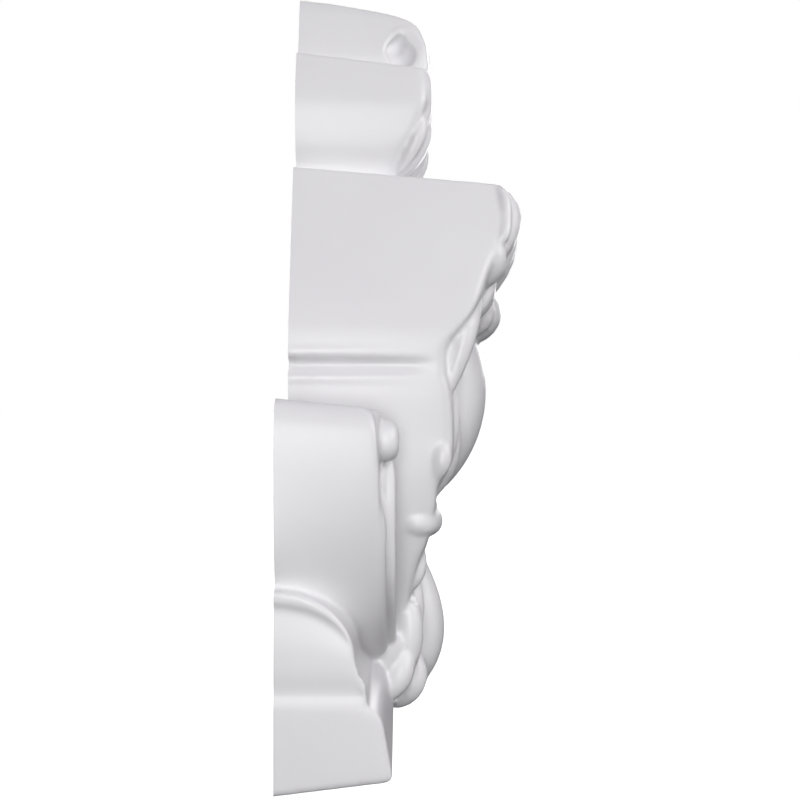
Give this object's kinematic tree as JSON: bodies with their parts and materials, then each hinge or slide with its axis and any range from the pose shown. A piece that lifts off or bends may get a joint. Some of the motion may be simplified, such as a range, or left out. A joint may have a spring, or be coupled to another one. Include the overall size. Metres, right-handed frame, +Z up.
{
  "type": "scroll onlay",
  "caption": "Moulded wall onlay with side scrolls, a hanging acanthus leaf and buds, a small crest and a block foot; flat back for gluing.",
  "frame": {"origin": "on the flat back face, on the line of symmetry, at half the overall height", "axes": "+Z up, +X to the right seen from the front, +Y into the wall; the carved front looks along -Y"},
  "size_m": [0.264, 0.1067, 0.3449],
  "materials": {
    "primed_white": "smooth factory-primed white, matt with a faint sheen"
  },
  "bodies": {
    "root": {"scroll_onlay": "primed_white"}
  },
  "joints": []
}
